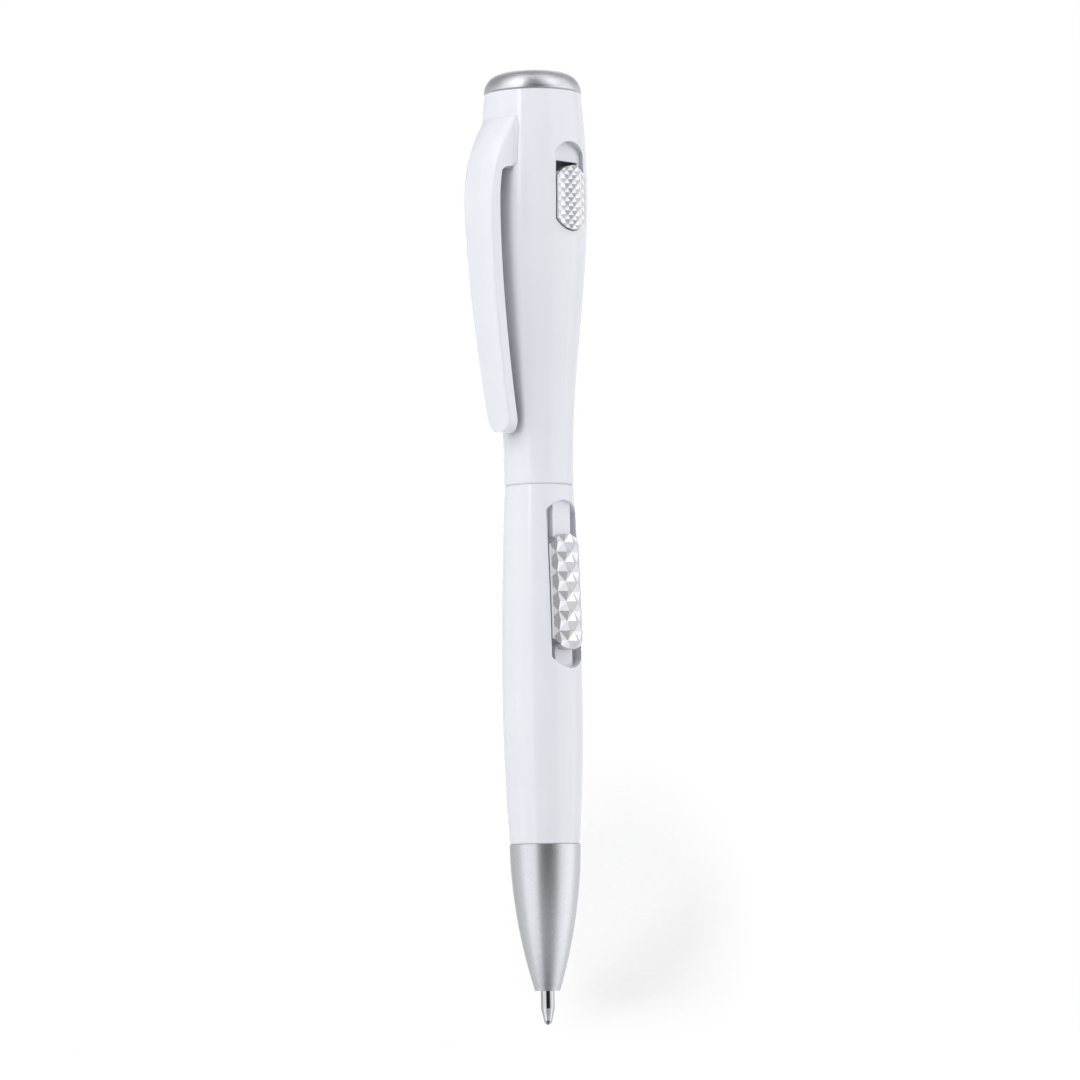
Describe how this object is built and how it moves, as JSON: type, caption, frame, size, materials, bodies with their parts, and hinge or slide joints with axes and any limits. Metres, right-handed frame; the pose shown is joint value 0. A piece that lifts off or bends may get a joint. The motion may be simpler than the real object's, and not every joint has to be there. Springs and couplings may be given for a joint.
{
  "type": "flashlight pen",
  "caption": "Slide-action ballpoint pen with a flared white barrel and clip, satin nose cone, side thumb slide, and a torch lamp with its own slide switch in the head",
  "frame": {"origin": "The writing end of the ball, with the point out.", "axes": "+Z runs along the pen from the point to the lamp, the clip faces -Y and both slides face +X."},
  "size_m": [0.0176, 0.0214, 0.15],
  "materials": {
    "white_abs": "gloss white moulding",
    "satin_silver": "satin silver coat",
    "bright_silver": "bright metallised",
    "nickel": "polished nickel",
    "spring_steel": "drawn wire",
    "brass_strip": "bare strip",
    "black_plastic": "matt black moulding",
    "clear_epoxy": "water clear",
    "tube_plastic": "milky tube",
    "phosphor": "yellow phosphor",
    "blue_ink": "blue paste ink"
  },
  "bodies": {
    "barrel": {"upper_barrel": "white_abs", "lower_barrel": "white_abs", "pocket_clip": "white_abs", "nose_cone": "satin_silver", "bezel": "satin_silver", "lamp_carrier": "black_plastic", "led_lamp": "clear_epoxy", "led_leads": "nickel", "lamp_die": "phosphor", "positive_contact": "brass_strip", "lamp_contact": "brass_strip", "negative_contact": "brass_strip", "cell_1": "spring_steel", "cell_2": "spring_steel", "cell_3": "spring_steel", "battery_spring": "spring_steel", "neck_plug": "white_abs", "return_spring": "spring_steel"},
    "pen_slider": {"thumb_button": "bright_silver", "slide_carrier": "white_abs", "catch_leaf": "spring_steel", "refill_tube": "tube_plastic", "ink_column": "blue_ink", "refill_point": "nickel", "writing_ball": "nickel"},
    "torch_slider": {"switch_button": "bright_silver", "switch_plate": "black_plastic", "switch_leaf": "brass_strip"}
  },
  "joints": [
    {"name": "pen_slide", "type": "slide", "parent": "barrel", "child": "pen_slider", "axis": [0, 0, 1], "range_m": [-0.0028, 0.0053], "deforming": ["return_spring", "catch_leaf"]},
    {"name": "torch_switch", "type": "slide", "parent": "barrel", "child": "torch_slider", "axis": [0, 0, 1], "range_m": [0, 0.0038]}
  ]
}
